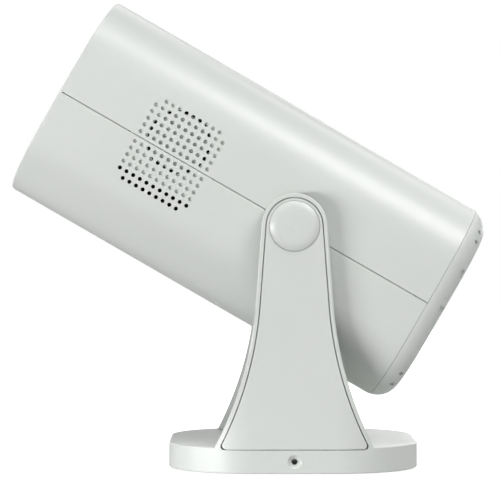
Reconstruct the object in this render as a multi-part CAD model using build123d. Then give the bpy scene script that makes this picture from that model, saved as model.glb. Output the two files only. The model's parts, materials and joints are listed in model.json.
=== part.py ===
from build123d import *
import os
from math import atan2, cos, radians, sin, sqrt

# Compact projector that tilts in a two-armed yoke. Millimetres.
# World frame: origin at the centre of the base on the floor, +Z up, lens end towards -X,
# rear end towards +X. Seen from behind the projector, the left arm is at -Y.
# Projector frame: origin on the pivot axis, x along the optical axis (lens end at -x), z up
# when the projector is level. Each projector piece is built there and tilted into place.

# Whole machine
rest_tilt = 30.0  # degrees by which the lens end is raised at rest
pivot_height = 105.3
foot_height = 1.0

# Body: rounded square section made of four crowned sides and four corner arcs
body_length = 188.0
front_reach = 114.6  # pivot axis to the front edge
body_half = 47.0
crown_radius = 220.0
corner_radius = 28.5
wall = 2.2
rear_wall = 2.4
front_edge_radius = 0.5
rear_edge_radius = 9.2
cap_depth = 8.2
seam_gap = 0.3
cap_gap = 0.12
fit_gap = 0.15  # between fixed pieces that slip into each other
lip_thickness = 1.2
lip_rise = 2.0
lip_drop = 4.0

# Speaker grille, one on each side
grille_x = -60.2
hole_pitch = 3.25
hole_radius = 0.88
first_row = 2.4
grille_columns = 11
grille_rows = 6
grille_wall = 1.0

# Rear face
recess_depth = 0.7
recess_wrap = 2.6
recess_start = 40.0
outlet_rib = 6.0  # solid web in the middle of each slot
outlet_end = 26.0
edge_slot = 2.4  # length of the short slots on the rounded edge
outlet_half = 0.75  # half the width of an air outlet slot
outlet_reach = 5.0
port_post_radius = 2.2
port_screw_radius = 1.0

# Air inlet slots in the underside
vent_count = 9
vent_start = -104.0
vent_pitch = 3.4
vent_width = 1.6
vent_reach = 9.0

# Speaker
speaker_z = 6.5
speaker_half = 20.0
speaker_foot_z = -13.7  # lower edge of the frame, cut short above the open holes
cone_radius = 12.2
surround_radius = 13.5
basket_radius = 14.9
basket_back = 32.0
basket_front = 41.5
magnet_radius = 9.0
magnet_height = 5.0

# Stand
base_half = 54.0
base_corner = 36.0
base_top = 11.8
base_wall = 3.0
base_roof = 2.4
base_edge = 0.5
arm_gap = 1.2  # body side to arm
arm_top_radius = 13.9
arm_taper = 4.3  # degrees
flare_start = 72.0
flare_radius = 155.0
arm_edge = 0.6
panel_inset = 2.15
panel_thickness = 1.6
panel_groove = 0.45
panel_foot = 11.3
panel_corner = 1.5
panel_back_gap = 0.05
peg_radius = 1.5
peg_depth = 2.0
peg_gap = 0.1
pivot_cap_radius = 10.55
pivot_cap_groove = 0.15
pivot_cap_rise = 0.2
pivot_cap_dome = 1.6
pivot_cap_crown = 0.25
pivot_cap_flat = 6.8
pivot_cap_wall = 1.25
side_hole_radius = 1.25
side_hole_height = 5.0
side_hole_sink = 3.0

# Pivot
bracket_y = 38.0
bracket_thickness = 2.0
bracket_half = 14.0
shaft_radius = 4.0
shaft_flange_radius = 8.0
hub_radius = 9.0
hub_gap = 0.3
friction_thickness = 0.75
bushing_radius = 6.0
bushing_length = 2.7
running_gap = 0.05
stop_thickness = 0.8
stop_radius = 6.0
stop_tab_radius = 8.2
stop_tab_angle = 30.0
tilt_travel = 180.0
stop_clear_angle = 1.0
key_half = 3.0
spring_thickness = 0.5
pivot_screw_radius = 2.0
pivot_screw_head = 4.8
pivot_screw_head_height = 1.1
pivot_screw_length = 9.0
pocket_radius = 9.3

# Base innards
plate_thickness = 2.0
plate_gap = 0.2
ballast_thickness = 4.0
ballast_inset = 8.0
insert_radius = 5.0
insert_flange = 6.0
insert_boss = 8.0
thread_radius = 3.175  # 1/4 inch tripod thread, major radius
thread_depth = 8.0
foot_radius = 7.0
foot_spread = 29.0
base_screw_spread = 36.0

# Fasteners
screw_radius = 1.25
screw_head_radius = 2.4
screw_head_height = 1.4
boss_radius = 3.2
screw_gap = 0.2

# Optics
bezel_thickness = 2.5
frame_thickness = 3.0
bezel_recess = 0.5
focus_outer = 23.3
focus_inner = 20.2
focus_length = 9.5
focus_ribs = 30
ring_gap = 0.3
barrel_outer = 19.9
barrel_wall = 2.4
barrel_length = 36.0
barrel_recess = 3.0
barrel_gap = 0.08
mount_length = 35.0
mount_flange_half = 25.0
mount_flange = 3.0
ir_radius = 3.2
ir_place = 29.0
housing_front = -66.0
housing_back = -8.0
housing_half = 29.0
housing_wall = 2.0
groove_depth = 0.8
optic_gap = 0.1
lcd_x = -40.0
lcd_thickness = 2.6
fresnel_front_x = -47.0
fresnel_rear_x = -31.0
fresnel_thickness = 1.6
condenser_x = -20.0
condenser_radius = 15.0
holder_thickness = 2.0
lug_reach = 7.0
lug_thickness = 3.0
lug_half = 4.0
lug_places = (-58.0, -24.0)

# Light source and cooling
led_board_half = 25.0
led_board_thickness = 1.6
led_half = 5.0
led_height = 1.0
sink_half = 28.0
sink_base = 4.0
fin_length = 28.0
fin_thickness = 1.2
fin_count = 11
post_radius = 3.6
fan_half = 30.0
fan_depth = 15.0
fan_gap = 1.0
fan_bore = 27.0
fan_hole_spread = 25.0
fan_hub = 12.0
blade_count = 7
blade_tip = 26.0
blade_angle = 35.0
fan_axle = 1.5

# Electronics
board_thickness = 1.6
mainboard_z = -36.0
mainboard_half = 28.0
mainboard_front = -56.0
mainboard_back = 52.0
mainboard_screw_xs = (-33.0, 46.0)
board_post_radius = 2.6
ribbon_width = 22.0
coil_x = 34.0
coil_half = 3.0
ribbon_thickness = 0.3
lead_radius = 0.9
lead_x = -48.0
lead_y = 36.0
port_board_x = 60.0
port_board_half = 33.0
port_z = -8.5
port_board_height = 22.0
port_gap = 0.2

# Power button
button_x = 30.0
button_radius = 5.5
button_gap = 0.3
button_flange = 1.3
button_flange_height = 1.2
button_travel = 0.6

# Corner screws that tie both shells to the front frame and to the rear cap
corner_screw_y = 27.0
corner_screw_z = 27.0
corner_boss_length = 10.0

# Derived places
front_x = -front_reach
rear_x = body_length - front_reach
seam_x = rear_x - cap_depth
frame_front = front_x + bezel_recess + bezel_thickness
frame_back = frame_front + frame_thickness
arm_inner = body_half + arm_gap
base_bottom = foot_height
sink_front = housing_back + led_board_thickness
fin_front = sink_front + sink_base
fin_back = fin_front + fin_length
fan_front = fin_back + fan_gap
fan_back = fan_front + fan_depth
bracket_outer = bracket_y + bracket_thickness
hub_end = arm_inner - running_gap - friction_thickness
pocket_floor = arm_inner + bushing_length
stop_start = pocket_floor + running_gap
stop_end = stop_start + stop_thickness
panel_seat = base_half - panel_thickness


# ---------------------------------------------------------------- simple shapes

def block(x_span, y_span, z_span):
    centre = [(low + high) / 2 for low, high in (x_span, y_span, z_span)]
    size = [high - low for low, high in (x_span, y_span, z_span)]
    return Pos(*centre) * Box(*size)


def rod_x(radius, start, end, y=0.0, z=0.0):
    return Pos((start + end) / 2, y, z) * Rot(0, 90, 0) * Cylinder(radius, end - start)


def rod_y(radius, start, end, x=0.0, z=0.0):
    return Pos(x, (start + end) / 2, z) * Rot(90, 0, 0) * Cylinder(radius, end - start)


def rod_z(radius, start, end, x=0.0, y=0.0):
    return Pos(x, y, (start + end) / 2) * Cylinder(radius, end - start)


def both_sides(piece):
    return piece + mirror(piece, Plane.XZ)


def screw(along, tip, seat, across_1, across_2, radius=screw_radius):
    """Pan-head screw from its tip to its seat, head beyond the seat."""
    step = 1 if seat > tip else -1
    head_end = seat + step * screw_head_height
    shank = along(radius, min(tip, seat), max(tip, seat), across_1, across_2)
    head = along(screw_head_radius, min(seat, head_end), max(seat, head_end), across_1, across_2)
    return shank + head


# ---------------------------------------------------------------- body section

def corner_centre():
    reach = crown_radius - body_half
    return (sqrt(2 * (crown_radius - corner_radius) ** 2 - reach**2) - reach) / 2


def body_section(inset=0.0):
    """Closed section of the body, inset evenly from its outer surface."""
    half = body_half - inset
    corner = corner_radius - inset
    centre = corner_centre()
    turn = atan2(centre, crown_radius - body_half + centre)
    far = centre + corner * cos(turn)
    near = centre + corner * sin(turn)
    middle = centre + corner * sqrt(0.5)
    edges = []
    for quarter in range(4):
        spin = Rot(0, 0, 90 * quarter)
        edges.append(spin * ThreePointArc((far, -near), (half, 0), (far, near)))
        edges.append(spin * ThreePointArc((far, near), (middle, middle), (near, far)))
    return make_face(edges)


def body_prism(start, end, inset=0.0):
    return extrude(Plane.YZ.offset(start) * body_section(inset), end - start, dir=(1, 0, 0))


def body_ring(start, end, outer_inset, inner_inset):
    return body_prism(start, end, outer_inset) - body_prism(start, end, inner_inset)


def end_edges(solid, at_x):
    return solid.edges().filter_by_position(Axis.X, at_x - 0.01, at_x + 0.01)


def body_outside():
    solid = body_prism(front_x, rear_x)
    solid = fillet(end_edges(solid, rear_x), rear_edge_radius)
    return fillet(end_edges(solid, front_x), front_edge_radius)


def body_inside():
    inner_rear = rear_x - rear_wall
    solid = body_prism(front_x - 1, inner_rear, wall)
    return fillet(end_edges(solid, inner_rear), rear_edge_radius - wall)


def side_box(x_span, z_span, depth=20.0):
    """Box over one stretch of both side walls."""
    return both_sides(block(x_span, (body_half - depth, body_half + 1), z_span))


# ---------------------------------------------------------------- body shells

def grille_holes(direction):
    """Hole cutters on both sides, above (+1) or below (-1) the middle seam."""
    holes = []
    half_span = (grille_columns - 1) / 2
    for row in range(grille_rows):
        last = row == grille_rows - 1
        for column in range(grille_columns):
            if last and column in (0, grille_columns - 1):
                continue
            x = grille_x + (column - half_span) * hole_pitch
            z = direction * (first_row + row * hole_pitch)
            holes.append(Pos(x, 0, z) * Rot(90, 0, 0) * Cylinder(hole_radius, 2 * body_half + 4))
    return holes


def speaker_pocket():
    """Thins the side walls to the grille wall in front of the speakers."""
    over = 0.8
    x_span = (grille_x - speaker_half - over, grille_x + speaker_half + over)
    z_span = (speaker_foot_z - 0.4, speaker_z + speaker_half + over)
    return side_box(x_span, z_span) & body_ring(x_span[0] - 1, x_span[1] + 1, grille_wall, wall + 0.5)


def shell_blank():
    tube = body_outside() - body_inside()
    return tube & block((front_x - 1, seam_x), (-60, 60), (-60, 60))


def corner_screw_places():
    return [(y, z) for y in (-corner_screw_y, corner_screw_y) for z in (-corner_screw_z, corner_screw_z)]


def add_corner_bosses(shell, side):
    """Bosses at both ends of one shell: side +1 is the upper shell, -1 the lower one."""
    inside = body_prism(front_x, rear_x, wall - 0.1)
    spans = ((frame_back, frame_back + corner_boss_length), (seam_x - corner_boss_length, seam_x - seam_gap))
    z = side * corner_screw_z
    for y in (-corner_screw_y, corner_screw_y):
        for start, end in spans:
            web_start = start + 1
            web_end = start + corner_boss_length / 2
            web = block((web_start, web_end), (y - 1, y + 1), sorted((z, side * body_half)))
            shell += (rod_x(boss_radius, start, end, y=y, z=z) + web) & inside
            shell -= rod_x(screw_radius, start - 1, end + 1, y=y, z=z)
    return shell


def upper_shell():
    shell = shell_blank() & block((front_x - 1, seam_x), (-60, 60), (seam_gap / 2, 60))
    shell = add_corner_bosses(shell, 1)
    post_top = body_half - wall
    for x in (button_x - 10, button_x + 10):
        shell += rod_z(2.0, button_board_top(), post_top + 0.4, x=x)
    shell -= rod_z(button_radius + button_gap, post_top - 2, body_half + 1, x=button_x)
    shell -= speaker_pocket()
    shell -= grille_holes(1)
    return shell - rod_y(hub_radius + hub_gap, -60, 60)


def seam_lip():
    """Tongue on the lower shell that closes the seam from inside."""
    start = frame_back + fit_gap
    end = seam_x - 7
    foot = body_ring(start, end, wall - 0.1, wall + fit_gap + lip_thickness)
    tongue = body_ring(start, end, wall + fit_gap, wall + fit_gap + lip_thickness)
    foot = foot & block((start, end), (-60, 60), (-lip_drop, -seam_gap / 2))
    tongue = tongue & block((start, end), (-60, 60), (-lip_drop, lip_rise))
    lip = foot + tongue
    speaker_span = speaker_half + 1.2
    lip -= side_box((grille_x - speaker_span, grille_x + speaker_span), (-20, 20))
    return lip - side_box((-bracket_half - 1, bracket_half + 1), (-20, 20))


def lower_shell():
    shell = shell_blank() & block((front_x - 1, seam_x), (-60, 60), (-60, -seam_gap / 2))
    inside = body_prism(frame_back, seam_x, wall - 0.1)
    shell = add_corner_bosses(shell, -1)
    for x in lug_places:
        for y in (-lug_y(), lug_y()):
            shell += rod_z(boss_radius, -60, -housing_half, x=x, y=y) & inside
    for x, y in bracket_screw_places():
        for side in (-1, 1):
            shell += rod_z(boss_radius, -60, bracket_foot_z(), x=x, y=side * y) & inside
    for x, y in mainboard_screw_places():
        shell += rod_z(board_post_radius, -60, mainboard_z, x=x, y=y) & inside
    shell += seam_lip()
    for x in lug_places:
        for y in (-lug_y(), lug_y()):
            shell -= rod_z(screw_radius, -housing_half - 5, -housing_half, x=x, y=y)
    for x, y in bracket_screw_places():
        for side in (-1, 1):
            shell -= rod_z(screw_radius, bracket_foot_z() - 4, bracket_foot_z(), x=x, y=side * y)
    for x, y in mainboard_screw_places():
        shell -= rod_z(screw_radius, mainboard_z - 4, mainboard_z, x=x, y=y)
    for index in range(vent_count):
        x = vent_start + vent_pitch * index
        span = (x - vent_width / 2, x + vent_width / 2)
        shell -= block(span, (-vent_reach, vent_reach), (-60, -body_half + wall + 1))
    shell -= speaker_pocket()
    shell -= grille_holes(-1)
    return shell - rod_y(hub_radius + hub_gap, -60, 60)


def lug_y():
    return housing_half + lug_reach / 2


def bracket_foot_z():
    return -30.0


def bracket_screw_places():
    return [(-9.0, 35.0), (9.0, 35.0)]


def mainboard_screw_places():
    return [(x, y) for x in mainboard_screw_xs for y in (-24.0, 24.0)]


def rear_cap():
    inside = body_inside()
    start = seam_x + cap_gap
    cap = (body_outside() - inside) & block((start, rear_x + 1), (-60, 60), (-60, 60))
    skirt_start = seam_x - 5
    skirt = body_ring(skirt_start, start + 1, wall + fit_gap, wall + fit_gap + lip_thickness)
    joint = body_ring(start, start + 1, wall - 0.1, wall + fit_gap + lip_thickness)
    cap += skirt
    cap += joint & body_outside()
    for y, z in corner_screw_places():
        cap += rod_x(boss_radius, seam_x, rear_x - rear_wall + 0.4, y=y, z=z)
        cap -= rod_x(screw_radius + screw_gap, seam_x - 1, rear_x + 1, y=y, z=z)
        cap -= rod_x(screw_head_radius + screw_gap, cap_screw_seat(), rear_x + 1, y=y, z=z)
        web_relief = sorted((0.9 * z, 2 * z))
        half = boss_radius + fit_gap
        cap -= block((seam_x - 6, seam_x), (y - half, y + half), web_relief)
    for y in (-port_post_y(), port_post_y()):
        post_foot = port_board_x + board_thickness
        cap += rod_x(port_post_radius, post_foot, rear_x - rear_wall + 0.4, y=y, z=port_z)
        cap -= rod_x(port_screw_radius, port_board_x, port_board_x + 6, y=y, z=port_z)
    for low, high in recess_spans():
        cap -= rear_recess(low, high)
    for z, start_y, end_y in outlet_slots():
        z_span = (z - outlet_half, z + outlet_half)
        slot = block((rear_x - outlet_reach, rear_x + 1), (start_y, end_y), z_span)
        cap -= both_sides(slot)
    for _, y, width, height in square_ports():
        half_width = width / 2 + port_gap
        half_height = height / 2 + port_gap
        z_span = (port_z - half_height, port_z + half_height)
        cap -= block((rear_x - 6, rear_x + 1), (y - half_width, y + half_width), z_span)
    for _, y, radius, _ in round_ports():
        cap -= rod_x(radius + port_gap, rear_x - 6, rear_x + 1, y=y, z=port_z)
    return cap


def outlet_slots():
    """Height, start and end of each air outlet slot on the +Y side."""
    slots = []
    for z in (7.6, 11.2, 14.8, 18.4, 33.0, 37.4, -31.5, -37.2):
        slots.append((z, outlet_rib / 2, outlet_end))
    for z, end_y in ((37.4, 35.4), (33.0, 38.8), (-31.5, 39.7), (-37.2, 35.6)):
        slots.append((z, end_y - edge_slot, end_y))
    return slots


def rear_recess(low, high):
    """Even step into the rounded edge of the rear face, on both sides."""
    floor_x = rear_x - recess_depth
    floor = body_prism(front_x, floor_x, recess_depth)
    floor = fillet(end_edges(floor, floor_x), rear_edge_radius - recess_depth)
    edge = block((rear_x - recess_wrap, rear_x + 1), (recess_start, 60), (low, high))
    return (body_outside() - floor) & both_sides(edge)


def recess_spans():
    """Heights of the two steps on each side: beside the vents and beside the sockets."""
    return ((5.0, 20.0), (-19.0, 2.0))


def cap_screw_seat():
    return rear_x - 1.7


def port_post_y():
    return port_board_half - 3.0


def square_ports():
    """Name, place, width and height of each square socket."""
    return (("hdmi_socket", 4.0, 15.2, 5.6), ("usb_socket", 20.5, 13.2, 5.8))


def round_ports():
    """Name, place, nose radius and bore radius of each round socket."""
    return (("dc_jack", -22.0, 4.2, 2.85), ("audio_jack", -9.5, 3.2, 1.8))


def front_bezel():
    start = front_x + bezel_recess
    bezel = body_prism(start, start + bezel_thickness, wall + fit_gap)
    bezel -= rod_x(focus_outer + ring_gap, front_x - 1, front_x + 8)
    bezel -= rod_x(ir_radius, front_x - 1, front_x + 8, y=ir_place, z=ir_place)
    return bezel


def front_frame():
    """Plate behind the bezel that ties the two shells together."""
    frame = body_prism(frame_front, frame_back, wall + fit_gap)
    frame -= rod_x(focus_outer + ring_gap, front_x, front_x + 20)
    for y, z in corner_screw_places():
        frame -= rod_x(screw_radius + screw_gap, front_x, front_x + 20, y=y, z=z)
        head_end = frame_front + screw_head_height
        frame -= rod_x(screw_head_radius + screw_gap, front_x, head_end, y=y, z=z)
    return frame - rod_x(ir_radius, frame_front, frame_back + 1, y=ir_place, z=ir_place)


def ir_window():
    start = front_x + bezel_recess
    return rod_x(ir_radius, start, start + bezel_thickness, y=ir_place, z=ir_place)


# ---------------------------------------------------------------- lens

def barrel_front():
    return front_x + barrel_recess


def ring_front():
    return front_x + 1.0


def focus_ring():
    start = ring_front()
    ring = rod_x(focus_outer, start, start + focus_length)
    ring -= rod_x(focus_inner, start - 1, start + focus_length + 1)
    rib_radius = (focus_outer + focus_inner) / 2
    for index in range(focus_ribs):
        angle = 360 * index / focus_ribs
        rib = Pos(start, rib_radius, 0) * Box(1.0, 2.0, 1.4)
        ring -= Rot(angle, 0, 0) * rib
    return ring


def lens_barrel():
    start = barrel_front()
    tube = rod_x(barrel_outer, start, start + barrel_length)
    return tube - rod_x(barrel_outer - barrel_wall, start - 1, start + barrel_length + 1)


def glass(x, radius, rim, front_bulge, rear_bulge):
    """Round lens centred on the optical axis; a bulge of zero is a flat face."""
    front = x - rim / 2
    rear = x + rim / 2
    edges = [Line((front, radius), (rear, radius))]
    edges.append(outline_side((rear, radius), (rear + rear_bulge, 0), rear_bulge))
    edges.append(Line((rear + rear_bulge, 0), (front - front_bulge, 0)))
    edges.append(outline_side((front, radius), (front - front_bulge, 0), front_bulge))
    return revolve(make_face(edges), Axis.X)


def outline_side(rim_point, axis_point, bulge):
    if bulge == 0:
        return Line(rim_point, axis_point)
    return TangentArc(axis_point, rim_point, tangent=(0, 1))


def lens_elements():
    bore = barrel_outer - barrel_wall
    front = barrel_front()
    places = (("lens_front", 7.0, 4.0, 2.4), ("lens_middle", 18.0, 0.0, 2.0), ("lens_rear", 29.0, 1.4, 2.6))
    return {name: glass(front + x, bore, 3.0, left, right) for name, x, left, right in places}


def lens_mount():
    start = housing_front - mount_length
    tube = rod_x(focus_outer, start, housing_front)
    flange_start = housing_front - mount_flange
    half = mount_flange_half
    tube += block((flange_start, housing_front), (-half, half), (-half, half))
    tube -= rod_x(barrel_outer + barrel_gap, start - 1, housing_front + 1)
    for y, z in flange_screw_places():
        tube -= rod_x(screw_radius + screw_gap, flange_start - 1, housing_front + 1, y=y, z=z)
    return tube


def flange_screw_places():
    place = mount_flange_half - 3.5
    return [(y, z) for y in (-place, place) for z in (-place, place)]


def lens_mount_screws():
    seat = housing_front - mount_flange
    tip = housing_front + housing_wall - 0.2
    return sum((screw(rod_x, tip, seat, y, z) for y, z in flange_screw_places()), Part())


# ---------------------------------------------------------------- light path

def plate_groove(x, thickness):
    half = housing_half - housing_wall + groove_depth
    depth = thickness / 2 + optic_gap / 2
    return block((x - depth, x + depth), (-half, half), (-half, half))


def optics_housing():
    half = housing_half
    inner = half - housing_wall
    housing = block((housing_front, housing_back), (-half, half), (-half, half))
    for x in lug_places:
        for side in (-1, 1):
            y_span = sorted((side * half, side * (half + lug_reach)))
            housing += block((x - lug_half, x + lug_half), y_span, (-half, -half + lug_thickness))
            housing -= rod_z(screw_radius + screw_gap, -half - 1, -half + 5, x=x, y=side * lug_y())
    housing -= block((housing_front + housing_wall, housing_back + 1), (-inner, inner), (-inner, inner))
    housing -= rod_x(barrel_outer, housing_front - 1, housing_front + housing_wall + 1)
    for y, z in flange_screw_places():
        housing -= rod_x(screw_radius, housing_front - 1, housing_front + housing_wall - 0.2, y=y, z=z)
    for x, thickness in plate_places():
        housing -= plate_groove(x, thickness)
    slot = ribbon_width / 2 + 1
    housing -= block((lcd_x - 1, lcd_x + 1), (-slot, slot), (-half - 1, -inner))
    return housing


def plate_places():
    return (
        (fresnel_front_x, fresnel_thickness),
        (lcd_x, lcd_thickness),
        (fresnel_rear_x, fresnel_thickness),
        (condenser_x, holder_thickness),
    )


def optic_plate(x, thickness):
    half = housing_half - housing_wall + groove_depth - optic_gap
    return block((x - thickness / 2, x + thickness / 2), (-half, half), (-half, half))


def condenser_holder():
    plate = optic_plate(condenser_x, holder_thickness)
    return plate - rod_x(condenser_radius, condenser_x - 5, condenser_x + 5)


def engine_screws():
    """Screws that hold the optics housing down."""
    screws = Part()
    for x in lug_places:
        for y in (-lug_y(), lug_y()):
            screws += screw(rod_z, -housing_half - 4.5, -housing_half + lug_thickness, x, y)
    return screws


def led_board():
    half = led_board_half
    return block((housing_back, sink_front), (-half, half), (-half, half))


def led_emitter():
    start = housing_back - led_height
    return block((start, housing_back), (-led_half, led_half), (-led_half, led_half))


def fan_screw_places():
    place = fan_hole_spread
    return [(y, z) for y in (-place, place) for z in (-place, place)]


def heatsink():
    half = sink_half
    sink = block((sink_front, fin_front), (-half, half), (-half, half))
    pitch = (2 * half - fin_thickness) / (fin_count - 1)
    for index in range(fin_count):
        y = -half + index * pitch
        sink += block((fin_front, fin_back), (y, y + fin_thickness), (-half, half))
    for y, z in fan_screw_places():
        sink += rod_x(post_radius, fin_front, fan_front, y=y, z=z) & optic_column()
        sink -= rod_x(screw_radius, fan_front - 8, fan_front, y=y, z=z)
    return sink


def optic_column():
    return block((sink_front, fan_front), (-sink_half - 1, sink_half + 1), (-sink_half - 1, sink_half + 1))


def fan_frame():
    half = fan_half
    base_start = fan_back - 1.7
    frame = block((fan_front, fan_back), (-half, half), (-half, half))
    frame -= rod_x(fan_bore, fan_front - 1, fan_back + 1)
    frame += rod_x(fan_hub + 1, base_start, fan_back)
    for index in range(3):
        strut = block((base_start, fan_back), (-1.5, 1.5), (fan_hub, fan_bore + 1))
        frame += Rot(120 * index, 0, 0) * strut
    frame -= rod_x(fan_axle + running_gap, base_start - 1, fan_back + 1)
    for y, z in fan_screw_places():
        frame -= rod_x(screw_radius + screw_gap, fan_front - 1, fan_back + 1, y=y, z=z)
    return frame


def fan_rotor():
    hub_start = fan_front + 1
    hub_end_x = fan_back - 2.0
    rotor = rod_x(fan_hub, hub_start, hub_end_x)
    middle = (hub_start + hub_end_x) / 2
    span = blade_tip - fan_hub + 1
    for index in range(blade_count):
        blade = Pos(middle, 0, fan_hub - 1 + span / 2) * Rot(0, 0, blade_angle) * Box(11, 1.2, span)
        rotor += Rot(360 * index / blade_count, 0, 0) * blade
    return rotor + rod_x(fan_axle, hub_end_x, fan_back)


def fan_screws():
    return sum((screw(rod_x, fan_front - 7, fan_back, y, z) for y, z in fan_screw_places()), Part())


# ---------------------------------------------------------------- electronics

def mainboard():
    half = mainboard_half
    top = mainboard_z + board_thickness
    board = block((mainboard_front, mainboard_back), (-half, half), (mainboard_z, top))
    for x, y in mainboard_screw_places():
        board -= rod_z(screw_radius + screw_gap, mainboard_z - 1, top + 1, x=x, y=y)
    return board


def mainboard_screws():
    top = mainboard_z + board_thickness
    places = mainboard_screw_places()
    return sum((screw(rod_z, mainboard_z - 3.5, top, x, y) for x, y in places), Part())


def mainboard_parts():
    """Shield can, chips, coils and connectors on top of the mainboard."""
    top = mainboard_z + board_thickness
    can = block((-26, -4), (-11, 11), (top, top + 2.4))
    processor = block((2, 14), (-8, 4), (top, top + 1.2))
    memory = block((18, 26), (-4, 4), (top, top + 1.0))
    parts = can + processor + memory
    for y in (-18.0, -9.0, 9.0, 18.0):
        y_span = (y - coil_half, y + coil_half)
        coil = block((coil_x - coil_half, coil_x + coil_half), y_span, (top, top + 2.8))
        parts += coil
    for side in (-1, 1):
        y_span = sorted((side * (lead_end_y() - 5), side * lead_end_y()))
        lead_socket = block((lead_x - 3, lead_x + 3), y_span, (top, top + 3.6))
        parts += lead_socket
    half = ribbon_width / 2 + 1
    ribbon_socket = block((lcd_x - 2, lcd_x + 2), (-half, half), (top, ribbon_foot_z()))
    parts += ribbon_socket
    return parts


def ribbon_foot_z():
    return mainboard_z + board_thickness + 1.4


def lcd_ribbon():
    half = ribbon_width / 2
    top = -(housing_half - housing_wall + groove_depth - optic_gap)
    return block(
        (lcd_x - ribbon_thickness / 2, lcd_x + ribbon_thickness / 2), (-half, half), (ribbon_foot_z(), top)
    )


def lead_end_y():
    return mainboard_half - 1.0


def lead_foot_z():
    return mainboard_z + board_thickness + 1.8


def speaker_lead():
    """Lead of the +Y speaker: down from its tab, then in to the mainboard."""
    tab_z = speaker_tab()[0]
    foot = lead_foot_z()
    run = lead_y - lead_end_y()
    bend = 0.45 * run
    path = Wire([
        Line((lead_x, lead_y, tab_z), (lead_x, lead_y, foot + bend)),
        TangentArc((lead_x, lead_y, foot + bend), (lead_x, lead_y - bend, foot), tangent=(0, 0, -1)),
        Line((lead_x, lead_y - bend, foot), (lead_x, lead_end_y(), foot)),
    ])
    start = Plane(origin=(lead_x, lead_y, tab_z), z_dir=(0, 0, -1))
    return sweep(start * Circle(lead_radius), path=path)


def port_board():
    z_span = (port_z - port_board_height / 2, port_z + port_board_height / 2)
    half = port_board_half
    board = block((port_board_x, port_board_x + board_thickness), (-half, half), z_span)
    for y in (-port_post_y(), port_post_y()):
        board -= rod_x(port_screw_radius + screw_gap, port_board_x - 1, port_board_x + 3, y=y, z=port_z)
    return board


def port_board_screws():
    seat = port_board_x
    tip = port_board_x + 5
    return both_sides(screw(rod_x, tip, seat, port_post_y(), port_z, radius=port_screw_radius))


def square_socket(y, width, height):
    start = port_board_x + board_thickness
    end = rear_x - 0.9
    half_width = width / 2
    half_height = height / 2
    y_span = (y - half_width, y + half_width)
    shell = block((start, end), y_span, (port_z - half_height, port_z + half_height))
    inner_width = half_width - 0.5
    inner_height = half_height - 0.5
    z_span = (port_z - inner_height, port_z + inner_height)
    shell -= block((start + 2, end + 1), (y - inner_width, y + inner_width), z_span)
    tongue_y = (y - inner_width + 1.5, y + inner_width - 1.5)
    return shell + block((start + 1, end - 1.5), tongue_y, (port_z - 0.2, port_z + 1.2))


def round_socket(y, nose, bore):
    start = port_board_x + board_thickness
    shoulder = rear_x - rear_wall - 0.4
    half = nose + 0.8
    jack = block((start, shoulder), (y - half, y + half), (port_z - half, port_z + half))
    jack += rod_x(nose, shoulder, rear_x - 0.7, y=y, z=port_z)
    return jack - rod_x(bore, start + 1.5, rear_x, y=y, z=port_z)


# ---------------------------------------------------------------- speakers

def speaker_tab():
    return (-12.0, -3.0)


def speaker_shape():
    """Frame, cone, surround and magnet of the +Y speaker."""
    x_span = (grille_x - speaker_half, grille_x + speaker_half)
    frame = body_prism(*x_span, grille_wall + 0.1)
    frame = frame & block(x_span, (basket_front, 60), (speaker_foot_z, speaker_z + speaker_half))
    frame += rod_y(basket_radius, basket_back, basket_front, x=grille_x, z=speaker_z)
    frame += block((lead_x - 3, lead_x + 3), (lead_y - 2, lead_y + 2), speaker_tab())
    frame -= rod_y(surround_radius, basket_back + 1, 60, x=grille_x, z=speaker_z)
    cone_front = body_prism(*x_span, grille_wall + 0.4)
    cone_back = body_prism(*x_span, grille_wall + 1.2)
    disc = rod_y(cone_radius, basket_front + 1, 60, x=grille_x, z=speaker_z)
    hollow = rod_y(cone_radius - 1, basket_front, 60, x=grille_x, z=speaker_z) & cone_back
    cone = (disc & cone_front) - hollow
    surround = rod_y(surround_radius, basket_front + 1, basket_front + 1.8, x=grille_x, z=speaker_z)
    surround -= rod_y(cone_radius, basket_front, basket_front + 3, x=grille_x, z=speaker_z)
    magnet_back = basket_back + 1
    magnet = rod_y(magnet_radius, magnet_back, magnet_back + magnet_height, x=grille_x, z=speaker_z)
    return {"frame": frame, "cone": cone, "surround": surround, "magnet": magnet}


# ---------------------------------------------------------------- power button

def button_flange_top():
    return body_half - wall - 0.2


def button_board_top():
    return button_flange_top() - button_flange_height - button_travel - 3.6


def power_button():
    top = button_flange_top()
    cap = rod_z(button_radius, top, body_half - 0.12, x=button_x)
    cap = fillet(cap.edges().sort_by(Axis.Z)[-1], 0.4)
    return cap + rod_z(button_radius + button_flange, top - button_flange_height, top, x=button_x)


def button_board():
    top = button_board_top()
    board = block((button_x - 13, button_x + 13), (-7, 7), (top - 1.2, top))
    switch_top = button_flange_top() - button_flange_height - button_travel - 0.05
    board += block((button_x - 3, button_x + 3), (-3, 3), (top, switch_top - 0.9))
    return board + rod_z(1.6, switch_top - 0.9, switch_top, x=button_x)


# ---------------------------------------------------------------- pivot hardware, +Y side

def hinge_bracket():
    foot = bracket_foot_z()
    plate = block((-bracket_half, bracket_half), (bracket_y, bracket_outer), (foot, bracket_half))
    plate += block((-bracket_half, bracket_half), (bracket_y - 7, bracket_outer), (foot, foot + 2))
    plate -= rod_y(shaft_radius, 30, 60)
    for x, y in bracket_screw_places():
        plate -= rod_z(screw_radius + screw_gap, foot - 1, foot + 3, x=x, y=y)
    return plate


def bracket_screws():
    foot = bracket_foot_z()
    places = bracket_screw_places()
    return sum((screw(rod_z, foot - 3.5, foot + 2, x, y) for x, y in places), Part())


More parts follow.
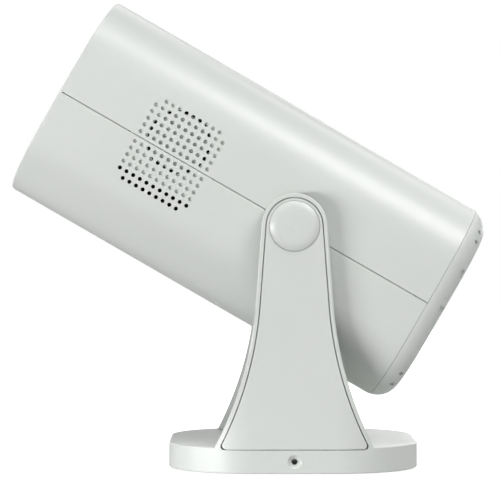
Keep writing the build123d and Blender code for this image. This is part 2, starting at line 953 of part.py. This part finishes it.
def stub_shaft():
    shaft = rod_y(shaft_radius, bracket_y, stop_end)
    shaft += rod_y(shaft_flange_radius, bracket_y - 2, bracket_y)
    for side in (-1, 1):
        z_span = sorted((side * key_half, side * (shaft_radius + 1)))
        shaft -= block((-10, 10), (pocket_floor, stop_end + 1), z_span)
    return shaft - rod_y(pivot_screw_radius, stop_end - pivot_screw_length, stop_end + 1)


def hub_spacer():
    return rod_y(hub_radius, bracket_outer, hub_end) - rod_y(shaft_radius, 30, 60)


def friction_washer():
    return rod_y(hub_radius, hub_end, hub_end + friction_thickness) - rod_y(shaft_radius, 30, 60)


def ring_sector(inner, outer, start, end, from_angle, to_angle):
    """Ring about the pivot between two tilt angles; tilt turns +x towards -z."""
    middle = radians((from_angle + to_angle) / 2)
    half = (to_angle - from_angle) / 2
    reach = 3 * outer
    points = [(0, 0)]
    for step in (-half, -half / 2, 0, half / 2, half):
        angle = middle + radians(step)
        points.append((reach * cos(angle), -reach * sin(angle)))
    wedge = extrude(Plane.XZ * make_face(Polyline(*points, close=True)), 60, both=True)
    ring = rod_y(outer, start, end) - rod_y(inner, start - 1, end + 1)
    return ring & wedge


def stop_washer():
    washer = rod_y(stop_radius, stop_start, stop_end)
    half = stop_tab_angle / 2
    washer += ring_sector(stop_radius - 0.5, stop_tab_radius, stop_start, stop_end, -half, half)
    key = rod_y(shaft_radius, stop_start - 1, stop_end + 1)
    key = key & block((-10, 10), (stop_start - 1, stop_end + 1), (-key_half, key_half))
    return washer - key


def spring_washer():
    washer = rod_y(stop_radius - 0.5, stop_end, stop_end + spring_thickness)
    return washer - rod_y(pivot_screw_radius + screw_gap, stop_end - 1, stop_end + 2)


def pivot_screw():
    seat = stop_end + spring_thickness
    shank = rod_y(pivot_screw_radius, stop_end - pivot_screw_length + 1, seat)
    head = rod_y(pivot_screw_head, seat, seat + pivot_screw_head_height)
    recess = Pos(0, seat + pivot_screw_head_height, 0) * Rot(90, 0, 0)
    socket = recess * extrude(RegularPolygon(1.6, 6), 0.7, both=True)
    return shank + head - socket


# ---------------------------------------------------------------- stand

def planform(inset=0.0):
    side = 2 * (base_half - inset)
    return RectangleRounded(side, side, base_corner - inset)


def base_prism(low, high, inset=0.0):
    return extrude(Pos(0, 0, low) * planform(inset), high - low)


def arm_face(inset, foot):
    """Arm outline in X and Z, inset evenly: round top, straight taper, then a flare."""
    taper = radians(arm_taper)
    out_x = cos(taper)
    out_z = sin(taper)
    top = arm_top_radius - inset
    start_x = arm_top_radius * out_x
    start_z = pivot_height + arm_top_radius * out_z
    bend_x = start_x + (start_z - flare_start) * sin(taper) / cos(taper)
    centre_x = bend_x + flare_radius * out_x
    centre_z = flare_start + flare_radius * out_z
    radius = flare_radius + inset
    foot_x = centre_x - sqrt(radius**2 - (foot - centre_z) ** 2)
    high = (top * out_x, pivot_height + top * out_z)
    low = (bend_x - inset * out_x, flare_start - inset * out_z)
    side = [
        Line(high, low),
        TangentArc(low, (foot_x, foot), tangent=(sin(taper), -cos(taper))),
    ]
    crown = ThreePointArc(high, (0, pivot_height + top), (-high[0], high[1]))
    edges = side + [crown, Line((foot_x, foot), (-foot_x, foot))]
    edges += [mirror(edge, Plane.YZ) for edge in side]
    return make_face(edges)


def arm_prism(start, end, inset, foot, corner=0.0):
    """Arm outline carried along +Y from start to end."""
    face = arm_face(inset, foot)
    if corner:
        face = fillet(face.vertices().group_by(Axis.Y)[0], corner)
    return extrude(Plane.XZ.offset(-start) * face, end - start, dir=(0, 1, 0))


def arm():
    solid = arm_prism(arm_inner, base_half, 0.0, base_top - 2)
    rim = solid.edges().group_by(Axis.Y)[-1].filter_by(lambda edge: edge.center().Z > base_top)
    solid = fillet(rim, arm_edge)
    return solid & base_prism(0, pivot_height + 2 * arm_top_radius)


def panel_room():
    """Sheet under the outer face of the arm in which the cover panel lies."""
    low = base_top - 5
    high = pivot_height + 2 * arm_top_radius
    return base_prism(low, high, -1.0) - base_prism(low, high, panel_thickness)


def panel_pegs(radius, clearance):
    seat = panel_seat - peg_depth - clearance
    pegs = Part()
    for z in (35.0, 60.0, 85.0):
        pegs += rod_y(radius, seat, panel_seat + panel_back_gap, z=z)
    return pegs


def arm_cuts():
    """Everything taken out of the +Y arm."""
    groove_inset = panel_inset - panel_groove
    pocket = arm_prism(arm_inner, base_half + 1, groove_inset, panel_foot - panel_groove, panel_corner)
    cuts = pocket & panel_room()
    pin = Pos(0, 0, pivot_height)
    block_half = (360 - tilt_travel - stop_tab_angle) / 2 - stop_clear_angle
    stop_block = ring_sector(
        stop_radius + ring_gap, pocket_radius, pocket_floor, stop_end + running_gap,
        270 - block_half, 270 + block_half,
    )
    cuts += pin * (rod_y(pocket_radius, pocket_floor, base_half + 1) - stop_block)
    cuts += pin * rod_y(bushing_radius, arm_inner - 1, base_half)
    return cuts + panel_pegs(peg_radius + peg_gap, 0)


def arm_bushing():
    bushing = rod_y(bushing_radius, arm_inner, pocket_floor, z=pivot_height)
    return bushing - rod_y(shaft_radius + running_gap, 30, 60, z=pivot_height)


def base_screw_places():
    spread = base_screw_spread
    return [(spread, 0), (-spread, 0), (0, spread), (0, -spread)]


def base_top_rim(whole):
    """Outer edges of the base's top face, with the short edges where the arms stand."""
    level = whole.edges().filter_by_position(Axis.Z, base_top - 0.01, base_top + 0.01)
    return level.filter_by(lambda edge: abs(edge.center().X) > base_half / 2)


def yoke():
    side_arm = arm()
    whole = base_prism(base_bottom, base_top) + side_arm + mirror(side_arm, Plane.XZ)
    whole = fillet(whole.edges().group_by(Axis.Z)[0], base_edge)
    whole = fillet(base_top_rim(whole), base_edge)
    cuts = arm_cuts()
    whole -= cuts
    whole -= mirror(cuts, Plane.XZ)
    cavity_top = base_top - base_roof
    whole -= base_prism(base_bottom - 1, cavity_top, base_wall)
    plate_top = base_bottom + plate_thickness
    for x, y in base_screw_places():
        whole += rod_z(boss_radius + 1, plate_top, cavity_top, x=x, y=y)
        whole -= rod_z(screw_radius, plate_top - 1, cavity_top - 0.5, x=x, y=y)
    whole += rod_z(insert_boss, plate_top, cavity_top)
    whole -= rod_z(insert_radius, plate_top - 1, cavity_top)
    hole_z = base_bottom + side_hole_height
    whole -= rod_y(side_hole_radius, -base_half - 1, -base_half + base_wall + 1, z=hole_z)
    sink_depth = side_hole_sink - side_hole_radius
    sink = Pos(0, -base_half + sink_depth / 2, hole_z) * Rot(90, 0, 0)
    return whole - sink * Cone(side_hole_radius, side_hole_sink, sink_depth)


def arm_cover():
    panel = arm_prism(arm_inner, base_half + 1, panel_inset, panel_foot, panel_corner)
    low = base_top - 5
    high = pivot_height + 2 * arm_top_radius
    sheet = base_prism(low, high) - base_prism(low, high, panel_thickness - panel_back_gap)
    panel = (panel & sheet) + panel_pegs(peg_radius, 0)
    return panel - rod_y(pivot_cap_radius + pivot_cap_groove, 30, 60, z=pivot_height)


def pivot_cap():
    """Hollow cap whose face is nearly flat and rolls over towards the rim."""
    seat = panel_seat
    rim = base_half + pivot_cap_rise
    top = rim + pivot_cap_dome
    shoulder = (pivot_cap_flat, top - pivot_cap_crown)
    crown = Line((0, top), shoulder)
    roll = TangentArc(shoulder, (pivot_cap_radius, rim), tangent=crown % 1)
    side = Polyline((pivot_cap_radius, rim), (pivot_cap_radius, seat), (0, seat), (0, top))
    cap = revolve(make_face([crown, roll, side]), Axis.Y)
    cap -= rod_y(pocket_radius - 1, seat - 1, top - pivot_cap_wall)
    skirt_outer = pocket_radius - 0.05
    skirt = rod_y(skirt_outer, seat - 0.5, seat + 0.5) - rod_y(skirt_outer - 0.7, seat - 1, seat + 1)
    return Pos(0, 0, pivot_height) * (cap + skirt)


def bottom_plate():
    top = base_bottom + plate_thickness
    plate = base_prism(base_bottom, top, base_wall + plate_gap)
    plate -= rod_z(insert_radius + plate_gap, 0, top + 1)
    plate -= rod_z(insert_flange + plate_gap, 0, base_bottom + 1)
    for x, y in base_screw_places():
        plate -= rod_z(screw_radius + screw_gap, 0, top + 1, x=x, y=y)
        plate -= rod_z(screw_head_radius + screw_gap, 0, base_bottom + screw_head_height, x=x, y=y)
    return plate


def ballast_plate():
    low = base_bottom + plate_thickness
    plate = base_prism(low, low + ballast_thickness, ballast_inset)
    plate -= rod_z(insert_boss + plate_gap, 0, 20)
    for x, y in base_screw_places():
        plate -= rod_z(boss_radius + 1 + plate_gap, 0, 20, x=x, y=y)
    return plate


def tripod_insert():
    top = base_top - base_roof
    insert = rod_z(insert_radius, 0, top) + rod_z(insert_flange, 0, base_bottom + 1)
    return insert - rod_z(thread_radius, -1, thread_depth)


def rubber_feet():
    feet = Part()
    for x in (-foot_spread, foot_spread):
        for y in (-foot_spread, foot_spread):
            feet += rod_z(foot_radius, 0, foot_height, x=x, y=y)
    return feet


def base_screws():
    seat = base_bottom + screw_head_height
    tip = base_top - base_roof - 1
    return sum((screw(rod_z, tip, seat, x, y) for x, y in base_screw_places()), Part())


# ---------------------------------------------------------------- screws of the body

def corner_screws():
    """Four at the front frame and four at the rear cap."""
    screws = Part()
    for y, z in corner_screw_places():
        screws += screw(rod_x, frame_back + 8, frame_front + screw_head_height, y, z)
        screws += screw(rod_x, seam_x - 8, cap_screw_seat(), y, z)
    return screws


def chassis_screws():
    """All the equal small screws that hold the innards down."""
    screws = engine_screws() + mainboard_screws() + lens_mount_screws()
    return screws + both_sides(bracket_screws())


# ---------------------------------------------------------------- nodes

def stand_nodes():
    cover = arm_cover()
    cap = pivot_cap()
    return {
        "yoke": yoke(),
        "arm_cover_right": cover,
        "arm_cover_left": mirror(cover, Plane.XZ),
        "pivot_cap_right": cap,
        "pivot_cap_left": mirror(cap, Plane.XZ),
        "arm_bushings": both_sides(arm_bushing()),
        "bottom_plate": bottom_plate(),
        "ballast_plate": ballast_plate(),
        "tripod_insert": tripod_insert(),
        "rubber_feet": rubber_feet(),
        "base_screws": base_screws(),
    }


def projector_nodes():
    nodes = {
        "upper_shell": upper_shell(),
        "lower_shell": lower_shell(),
        "rear_cap": rear_cap(),
        "front_bezel": front_bezel(),
        "front_frame": front_frame(),
        "ir_window": ir_window(),
        "focus_ring": focus_ring(),
        "lens_barrel": lens_barrel(),
        "lens_mount": lens_mount(),
        "optics_housing": optics_housing(),
        "fresnel_front": optic_plate(fresnel_front_x, fresnel_thickness),
        "lcd_panel": optic_plate(lcd_x, lcd_thickness),
        "fresnel_rear": optic_plate(fresnel_rear_x, fresnel_thickness),
        "condenser_holder": condenser_holder(),
        "condenser_lens": glass(condenser_x, condenser_radius, holder_thickness, 5.0, 0.0),
        "led_board": led_board(),
        "led_emitter": led_emitter(),
        "heatsink": heatsink(),
        "fan_frame": fan_frame(),
        "fan_rotor": fan_rotor(),
        "fan_screws": fan_screws(),
        "mainboard": mainboard(),
        "mainboard_parts": mainboard_parts(),
        "lcd_ribbon": lcd_ribbon(),
        "speaker_leads": both_sides(speaker_lead()),
        "port_board": port_board(),
        "port_board_screws": port_board_screws(),
        "power_button": power_button(),
        "button_board": button_board(),
        "hinge_brackets": both_sides(hinge_bracket()),
        "stub_shafts": both_sides(stub_shaft()),
        "hub_spacers": both_sides(hub_spacer()),
        "friction_washers": both_sides(friction_washer()),
        "stop_washers": both_sides(stop_washer()),
        "spring_washers": both_sides(spring_washer()),
        "pivot_screws": both_sides(pivot_screw()),
        "chassis_screws": chassis_screws(),
        "corner_screws": corner_screws(),
    }
    nodes.update(lens_elements())
    for name, y, width, height in square_ports():
        nodes[name] = square_socket(y, width, height)
    for name, y, nose, bore in round_ports():
        nodes[name] = round_socket(y, nose, bore)
    for name, piece in speaker_shape().items():
        nodes[f"speaker_{name}s"] = both_sides(piece)
    return nodes


os.makedirs("parts", exist_ok=True)
at_rest = Pos(0, 0, pivot_height) * Rot(0, rest_tilt, 0)
for node_name, solid_piece in stand_nodes().items():
    export_step(solid_piece, f"parts/{node_name}.step")
for node_name, solid_piece in projector_nodes().items():
    export_step(at_rest * solid_piece, f"parts/{node_name}.step")
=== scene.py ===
import json
import math

import bpy
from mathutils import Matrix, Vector

# Compact tilting projector on a yoke stand. Everything is in metres, in the CAD frame.
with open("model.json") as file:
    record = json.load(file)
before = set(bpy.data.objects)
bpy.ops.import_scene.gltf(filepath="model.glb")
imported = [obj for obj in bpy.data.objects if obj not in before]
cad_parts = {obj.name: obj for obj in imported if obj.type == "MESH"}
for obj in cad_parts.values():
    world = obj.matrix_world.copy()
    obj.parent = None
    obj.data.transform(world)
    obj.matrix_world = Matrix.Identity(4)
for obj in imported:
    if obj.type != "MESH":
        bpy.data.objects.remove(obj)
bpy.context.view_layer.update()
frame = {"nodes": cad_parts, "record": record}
scene = bpy.context.scene
scene.view_settings.view_transform = "Standard"
collection = scene.collection
nodes = frame["nodes"]

# Materials. Texture scales are per metre.
NOISE_LOW = 0.3  # most of a noise texture's values lie between these two
NOISE_HIGH = 0.7
NOISE_DETAIL = 3.0
DRIFT_SCALE = 18.0  # slow change of tone across a plastic piece
DRIFT_GAIN = 1.03
PATCH_SCALE = 140.0  # uneven gloss of a plastic piece
PATCH_DETAIL = 4.0
GRAIN_STRENGTH = 0.5
GRAIN_DETAIL = 2.0
MARK_SHADE = 0.86  # darker tone of the marks on metal
PLASTIC_IOR = 1.49
COAT_ROUGHNESS = 0.02
SHELL = (0.606, 0.630, 0.606)
SHELL_WARM = (0.622, 0.643, 0.618)

# Studio.
STAGE_TONE = (0.6, 0.6, 0.6, 1.0)
STAGE_ROUGHNESS = 0.9
STAGE_WHITE = (1.0, 1.0, 1.0, 1.0)
FLOOR_RADIUS = 4.0
FLOOR_STEPS = 96
CAMERA_PLACE = (-0.01875, -1.0, 0.0973)
CAMERA_LENS_MM = 162.0
CAMERA_SENSOR_MM = 36.0
AIM = (0.0, 0.0, 0.11)  # the middle of the object, near the pivot
PANEL = (0.55, 0.55)
# Name, azimuth and elevation in degrees, distance, size, power in watts.
SOFTBOXES = (
    ("key_softbox", 45, 42, 1.2, PANEL, 8.9),
    ("top_softbox", 0, 70, 1.2, PANEL, 5.2),
    ("low_fill", -50, -3.5, 1.0, (0.5, 0.08), 6.3),
    ("rear_right_softbox", 135, 42, 1.2, PANEL, 1.8),
    ("right_softbox", 90, 42, 1.2, PANEL, 1.7),
    ("rear_low_softbox", 160, 12, 1.2, PANEL, 1.55),
    ("rear_softbox", 180, 42, 1.2, PANEL, 1.5),
    ("backdrop_glow", 180, 5, 1.6, (3.0, 0.45), 5.6),
)


# ---------------------------------------------------------------- materials


def new_material(name):
    """Material with only a Principled shader; returns it with its tree and shader."""
    material = bpy.data.materials.new(name)
    material.use_nodes = True
    tree = material.node_tree
    return material, tree, tree.nodes["Principled BSDF"]


def noise(tree, scale, detail=NOISE_DETAIL, stretch=(1.0, 1.0, 1.0)):
    """Noise in object space, so that it stays on the piece when the piece moves."""
    place = tree.nodes.new("ShaderNodeTexCoord")
    mapping = tree.nodes.new("ShaderNodeMapping")
    mapping.inputs["Scale"].default_value = stretch
    texture = tree.nodes.new("ShaderNodeTexNoise")
    texture.inputs["Scale"].default_value = scale
    texture.inputs["Detail"].default_value = detail
    tree.links.new(place.outputs["Object"], mapping.inputs["Vector"])
    tree.links.new(mapping.outputs["Vector"], texture.inputs["Vector"])
    return texture.outputs["Fac"]


def remap(tree, source, low, high):
    """Maps a noise texture's usual range onto low to high."""
    map_range = tree.nodes.new("ShaderNodeMapRange")
    map_range.inputs["From Min"].default_value = NOISE_LOW
    map_range.inputs["From Max"].default_value = NOISE_HIGH
    map_range.inputs["To Min"].default_value = low
    map_range.inputs["To Max"].default_value = high
    tree.links.new(source, map_range.inputs["Value"])
    return map_range.outputs["Result"]


def tint(tree, factor, first, second):
    """Colour between two tones by a factor texture."""
    mix = tree.nodes.new("ShaderNodeMix")
    mix.data_type = "RGBA"
    mix.inputs["A"].default_value = (*first, 1)
    mix.inputs["B"].default_value = (*second, 1)
    tree.links.new(factor, mix.inputs["Factor"])
    return mix.outputs["Result"]


def grain(tree, shader, scale, depth):
    """Fine surface relief of moulded or cast material."""
    bump = tree.nodes.new("ShaderNodeBump")
    bump.inputs["Distance"].default_value = depth
    bump.inputs["Strength"].default_value = GRAIN_STRENGTH
    tree.links.new(noise(tree, scale, GRAIN_DETAIL), bump.inputs["Height"])
    tree.links.new(bump.outputs["Normal"], shader.inputs["Normal"])


def plastic(name, colour, rough, second=None, grain_scale=2500.0, grain_depth=2e-5, coat=0.0, vary=0.04):
    """Moulded plastic: slight tone drift, uneven roughness and a fine moulded grain."""
    material, tree, shader = new_material(name)
    drift = noise(tree, DRIFT_SCALE)
    other = second or tuple(min(1.0, c * DRIFT_GAIN) for c in colour)
    tree.links.new(tint(tree, drift, colour, other), shader.inputs["Base Color"])
    patches = noise(tree, PATCH_SCALE, PATCH_DETAIL)
    tree.links.new(remap(tree, patches, rough - vary, rough + vary), shader.inputs["Roughness"])
    shader.inputs["IOR"].default_value = PLASTIC_IOR
    shader.inputs["Coat Weight"].default_value = coat
    if grain_depth:
        grain(tree, shader, grain_scale, grain_depth)
    return material


def metal(name, colour, rough, brushed=(1.0, 1.0, 1.0), scale=900.0, vary=0.06):
    """Metal with fine directional marks; brushed stretches them along an axis."""
    material, tree, shader = new_material(name)
    shader.inputs["Metallic"].default_value = 1.0
    marks = noise(tree, scale, stretch=brushed)
    darker = tuple(c * MARK_SHADE for c in colour)
    tree.links.new(tint(tree, marks, darker, colour), shader.inputs["Base Color"])
    tree.links.new(remap(tree, marks, rough - vary, rough + vary), shader.inputs["Roughness"])
    return material


def glass(name, colour, rough=0.02, coat_tint=None, ior=1.5):
    """Optical glass; a coat tint stands for an anti-reflection coating."""
    material, tree, shader = new_material(name)
    shader.inputs["Base Color"].default_value = (*colour, 1)
    shader.inputs["Roughness"].default_value = rough
    shader.inputs["Transmission Weight"].default_value = 1.0
    shader.inputs["IOR"].default_value = ior
    if coat_tint:
        shader.inputs["Coat Weight"].default_value = 1.0
        shader.inputs["Coat Roughness"].default_value = COAT_ROUGHNESS
        shader.inputs["Coat Tint"].default_value = (*coat_tint, 1)
    return material


finishes = {
    "shell_plastic": plastic(
        "satin_shell_plastic", SHELL, 0.33, SHELL_WARM, grain_scale=3200.0, grain_depth=1.2e-5, vary=0.025
    ),
    "white_nylon": plastic("nylon", (0.72, 0.70, 0.64), 0.5),
    "plain_steel": metal("zinc_plated_steel", (0.56, 0.57, 0.58), 0.35, (1.0, 8.0, 1.0)),
    "thread_brass": metal("machined_brass", (0.72, 0.53, 0.24), 0.25, (1.0, 1.0, 10.0)),
    "foot_rubber": plastic(
        "foot_rubber", (0.05, 0.05, 0.05), 0.75, grain_scale=1500.0, grain_depth=4e-5
    ),
    "screw_steel": metal("nickel_plated_screws", (0.42, 0.42, 0.43), 0.3),
    "black_gloss": plastic(
        "gloss_black_front", (0.004, 0.004, 0.005), 0.12, grain_depth=0.0, coat=0.6, vary=0.03
    ),
    "black_plastic": plastic("matt_black_plastic", (0.018, 0.018, 0.019), 0.5),
    "dark_window": plastic(
        "infrared_window", (0.03, 0.004, 0.006), 0.1, grain_depth=0.0, coat=0.5, vary=0.02
    ),
    "clear_lens": glass("clear_glass", (0.96, 0.98, 0.98)),
    "coated_lens": glass(
        "coated_glass", (0.93, 0.95, 0.99), 0.01, coat_tint=(0.55, 0.45, 0.95), ior=1.55
    ),
    "lcd_glass": plastic(
        "display_glass", (0.012, 0.014, 0.018), 0.08, grain_depth=0.0, coat=0.5, vary=0.02
    ),
    "board_white": plastic("white_board", (0.70, 0.72, 0.72), 0.35),
    "led_yellow": plastic("led_phosphor", (0.80, 0.56, 0.05), 0.5),
    "heatsink_aluminium": metal("extruded_aluminium", (0.80, 0.81, 0.82), 0.38, (14.0, 1.0, 1.0)),
    "board_green": plastic("green_board", (0.008, 0.075, 0.03), 0.3),
    "chip_black": plastic("chips", (0.02, 0.02, 0.022), 0.45),
    "ribbon_orange": plastic("polyimide_ribbon", (0.45, 0.16, 0.03), 0.3),
    "lead_black": plastic("wire_insulation", (0.02, 0.02, 0.02), 0.5),
    "socket_steel": metal("tinned_sockets", (0.65, 0.66, 0.67), 0.25),
    "speaker_grey": plastic("speaker_grey_plastic", (0.80, 0.82, 0.79), 0.6),
    "black_rubber": plastic("black_rubber", (0.006, 0.006, 0.006), 0.8),
}

slot_of = {part["node"]: part["material_slot"] for part in frame["record"]["subparts"]}
for node_name, node in nodes.items():
    finish = finishes[slot_of[node_name]]
    node.data.materials.clear()
    node.data.materials.append(finish)


# ---------------------------------------------------------------- stage


def stage_material():
    """Matt light grey that glows for camera rays only: it shows plain white, without shadows."""
    material, tree, shader = new_material("studio_white")
    shader.inputs["Base Color"].default_value = STAGE_TONE
    shader.inputs["Roughness"].default_value = STAGE_ROUGHNESS
    shader.inputs["Emission Color"].default_value = STAGE_WHITE
    path = tree.nodes.new("ShaderNodeLightPath")
    tree.links.new(path.outputs["Is Camera Ray"], shader.inputs["Emission Strength"])
    return material


def make_floor():
    """Pale round floor under the object."""
    vertices = [(0.0, 0.0, 0.0)]
    for step in range(FLOOR_STEPS):
        angle = 2 * math.pi * step / FLOOR_STEPS
        vertices.append((FLOOR_RADIUS * math.cos(angle), FLOOR_RADIUS * math.sin(angle), 0.0))
    faces = [(0, 1 + step, 1 + (step + 1) % FLOOR_STEPS) for step in range(FLOOR_STEPS)]
    mesh = bpy.data.meshes.new("studio_floor")
    mesh.from_pydata(vertices, [], faces)
    mesh.materials.append(stage_material())
    floor = bpy.data.objects.new("studio_floor", mesh)
    collection.objects.link(floor)


def softbox(name, azimuth, elevation, distance, size, power, aim=AIM, beam=180.0):
    """Soft light; azimuth 0 is the camera's side, 90 is to its right, 180 is behind the object."""
    turn = math.radians(azimuth)
    lift = math.radians(elevation)
    towards = Vector((math.sin(turn) * math.cos(lift), -math.cos(turn) * math.cos(lift), math.sin(lift)))
    light = bpy.data.lights.new(name, "AREA")
    light.shape = "RECTANGLE"
    light.size, light.size_y = size
    light.energy = power
    light.spread = math.radians(beam)
    lamp = bpy.data.objects.new(name, light)
    lamp.location = Vector(aim) + distance * towards
    lamp.rotation_euler = (-towards).to_track_quat("-Z", "Y").to_euler()
    lamp.visible_camera = False
    collection.objects.link(lamp)


def make_world():
    """Air that is white to camera rays and dark to all others, so only the lights light the object."""
    world = bpy.data.worlds.new("studio_air")
    world.use_nodes = True
    tree = world.node_tree
    path = tree.nodes.new("ShaderNodeLightPath")
    background = tree.nodes["Background"]
    background.inputs["Color"].default_value = STAGE_WHITE
    tree.links.new(path.outputs["Is Camera Ray"], background.inputs["Strength"])
    scene.world = world


def make_camera():
    """Square on to the left side, level, just below the pivot."""
    camera = bpy.data.cameras.new("camera")
    camera.sensor_width = CAMERA_SENSOR_MM
    camera.lens = CAMERA_LENS_MM
    camera.dof.use_dof = False
    view = bpy.data.objects.new("camera", camera)
    view.location = CAMERA_PLACE
    view.rotation_euler = (math.pi / 2, 0, 0)
    collection.objects.link(view)
    scene.camera = view


make_camera()
make_world()
make_floor()
for name, azimuth, elevation, distance, size, power in SOFTBOXES:
    softbox(name, azimuth, elevation, distance, size, power)
# A small weak light low on the base's left.
softbox("base_kicker", -80, 3, 0.3, (0.1, 0.02), 0.007, aim=(-0.045, -0.04, 0.006), beam=22.0)
